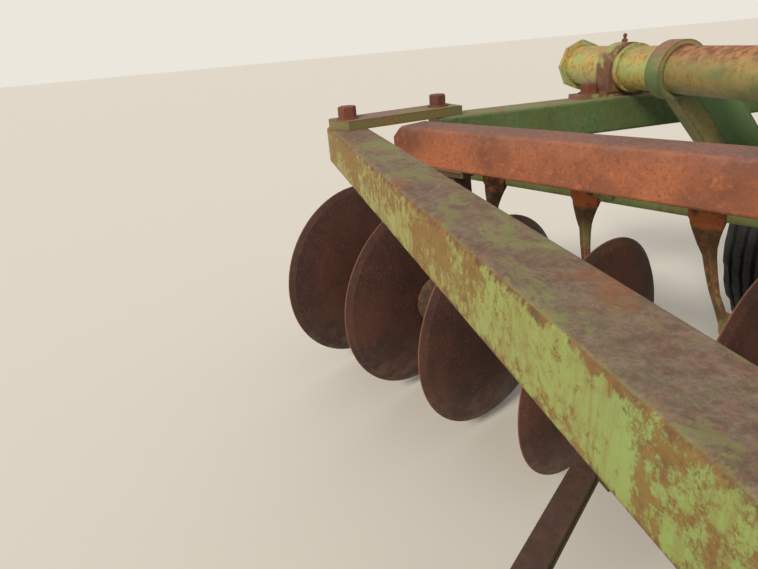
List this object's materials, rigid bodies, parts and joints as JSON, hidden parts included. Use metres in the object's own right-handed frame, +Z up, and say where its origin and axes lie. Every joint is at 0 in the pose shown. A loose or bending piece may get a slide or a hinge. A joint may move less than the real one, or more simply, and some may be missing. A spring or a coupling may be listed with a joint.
{
  "type": "pull-type tandem disc harrow",
  "caption": "Pull-type tandem disc harrow: square-tube frame, four angled gangs of dished blades with scrapers, rockshaft lift, two wheels, tongue and jack.",
  "frame": {"origin": "on the ground, at the middle of the whole outline", "axes": "+X to the machine's right, +Y forward towards the hitch, +Z up"},
  "size_m": [3.354, 3.9896, 0.963],
  "materials": {
    "green_paint": "worn paint",
    "deep_green_paint": "worn paint",
    "rusty_steel": "rusted",
    "dark_rust": "rusted",
    "rubber": "weathered",
    "chrome": "polished"
  },
  "bodies": {
    "frame": {"front_beam": "green_paint", "rear_beam": "green_paint", "side_beam_right": "deep_green_paint", "side_beam_left": "deep_green_paint", "centre_beams": "deep_green_paint", "corner_ties": "rusty_steel", "shaft_bearings": "rusty_steel", "cylinder_bracket": "green_paint", "tongue": "green_paint", "hitch_braces": "green_paint", "tongue_hangers": "rusty_steel", "hitch_clevis": "rusty_steel", "jack_body": "rusty_steel", "front_right_beam": "rusty_steel", "front_right_standards": "dark_rust", "front_right_scrapers": "dark_rust", "front_left_beam": "rusty_steel", "front_left_standards": "dark_rust", "front_left_scrapers": "dark_rust", "rear_right_beam": "rusty_steel", "rear_right_standards": "dark_rust", "rear_right_scrapers": "dark_rust", "rear_left_beam": "rusty_steel", "rear_left_standards": "dark_rust", "rear_left_scrapers": "dark_rust"},
    "lift_shaft": {"rockshaft": "green_paint", "wheel_arm_right": "green_paint", "wheel_arm_left": "green_paint", "lift_crank": "green_paint"},
    "road_wheel_right": {"tyre_right": "rubber", "wheel_right": "rusty_steel"},
    "road_wheel_left": {"tyre_left": "rubber", "wheel_left": "rusty_steel"},
    "barrel": {"lift_barrel": "deep_green_paint"},
    "rod": {"lift_rod": "chrome"},
    "leg": {"jack_leg": "rusty_steel"},
    "front_right_gang": {"front_right_axle": "dark_rust", "front_right_blades": "dark_rust"},
    "front_left_gang": {"front_left_axle": "dark_rust", "front_left_blades": "dark_rust"},
    "rear_right_gang": {"rear_right_axle": "dark_rust", "rear_right_blades": "dark_rust"},
    "rear_left_gang": {"rear_left_axle": "dark_rust", "rear_left_blades": "dark_rust"}
  },
  "joints": [
    {"name": "lift", "type": "hinge", "parent": "frame", "child": "lift_shaft", "pos_m": [0, -0.16317, 0.735], "axis": [1, 0, 0], "range_deg": [-20, 18]},
    {"name": "wheel_spin_right", "type": "hinge", "parent": "lift_shaft", "child": "road_wheel_right", "pos_m": [1.06, -0.67317, 0.375], "axis": [1, 0, 0], "continuous": true},
    {"name": "wheel_spin_left", "type": "hinge", "parent": "lift_shaft", "child": "road_wheel_left", "pos_m": [-1.06, -0.67317, 0.375], "axis": [1, 0, 0], "continuous": true},
    {"name": "front_right_spin", "type": "hinge", "parent": "frame", "child": "front_right_gang", "pos_m": [0.818, 0.06483, 0.262], "axis": [0.8865, 0.4627, 0], "continuous": true},
    {"name": "front_left_spin", "type": "hinge", "parent": "frame", "child": "front_left_gang", "pos_m": [-0.818, 0.06483, 0.262], "axis": [-0.8865, 0.4627, 0], "continuous": true},
    {"name": "rear_right_spin", "type": "hinge", "parent": "frame", "child": "rear_right_gang", "pos_m": [0.818, -1.49117, 0.262], "axis": [-0.8865, 0.4627, 0], "continuous": true},
    {"name": "rear_left_spin", "type": "hinge", "parent": "frame", "child": "rear_left_gang", "pos_m": [-0.818, -1.49117, 0.262], "axis": [0.8865, 0.4627, 0], "continuous": true},
    {"name": "barrel_swing", "type": "hinge", "parent": "frame", "child": "barrel", "pos_m": [0, 0.49283, 0.8], "axis": [1, 0, 0], "range_deg": [-3, 3]},
    {"name": "rod_slide", "type": "slide", "parent": "barrel", "child": "rod", "axis": [0, -0.9809, 0.1944], "range_m": [-0.075, 0.07]},
    {"name": "jack_leg_slide", "type": "slide", "parent": "frame", "child": "leg", "axis": [0, 0, 1], "range_m": [0, 0.2]}
  ],
  "couplings": [
    {"joint": "barrel_swing", "follows": "lift", "ratio": 0.0506},
    {"joint": "rod_slide", "follows": "lift", "m_per_rad": 0.19348}
  ]
}
